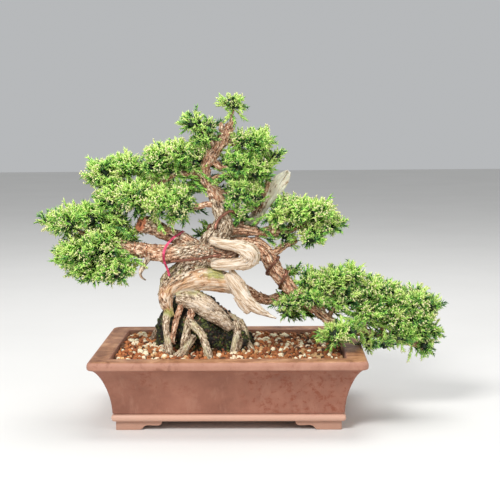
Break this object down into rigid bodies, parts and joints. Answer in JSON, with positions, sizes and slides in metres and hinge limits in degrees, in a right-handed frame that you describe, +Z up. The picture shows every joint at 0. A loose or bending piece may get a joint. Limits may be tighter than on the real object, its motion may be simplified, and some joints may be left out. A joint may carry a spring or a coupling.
{
  "type": "bonsai tree",
  "caption": "Juniper bonsai with twisted bleached deadwood, bright green foliage pads and a cascading branch, planted in a long rectangular unglazed clay pot with cloud feet.",
  "frame": {"origin": "on the surface the pot stands on, under the middle of the whole tree's bounding box", "axes": "+X to the tree's right as seen from its front, along the pot's length; +Y away from its front; +Z up"},
  "size_m": [0.4438, 0.208, 0.3639],
  "materials": {
    "clay": "matt unglazed brown clay",
    "grains": "coarse dry clay and pumice grains",
    "moss": "wet dark moss and muck",
    "bark": "flaky bark with bleached deadwood",
    "foliage": "matt green scale foliage",
    "aluminium": "brown anodised",
    "copper": "dull annealed copper",
    "strap": "satin pink-red plastic",
    "screen": "matt black plastic",
    "clip": "plain wire"
  },
  "bodies": {
    "root": {"drain_screen_left": "screen", "drain_screen_right": "screen", "moss_mound": "moss", "pad_apex": "foliage", "pad_back_high": "foliage", "pad_back_left": "foliage", "pad_back_low": "foliage", "pad_back_right": "foliage", "pad_cascade_far": "foliage", "pad_cascade_front": "foliage", "pad_cascade_tail": "foliage", "pad_cascade_upper": "foliage", "pad_left_high": "foliage", "pad_left_low": "foliage", "pad_left_mid": "foliage", "pad_low_back": "foliage", "pad_right_high": "foliage", "pad_right_mid": "foliage", "pad_top_left": "foliage", "pad_trunk_tuft": "foliage", "pad_upper_left": "foliage", "pot": "clay", "screen_clip_left": "clip", "screen_clip_right": "clip", "soil": "grains", "tie": "strap", "wire_crevice": "aluminium", "wire_left_branch": "copper", "wire_right_branch": "aluminium", "wire_trunk": "aluminium", "wood": "bark"}
  },
  "joints": []
}
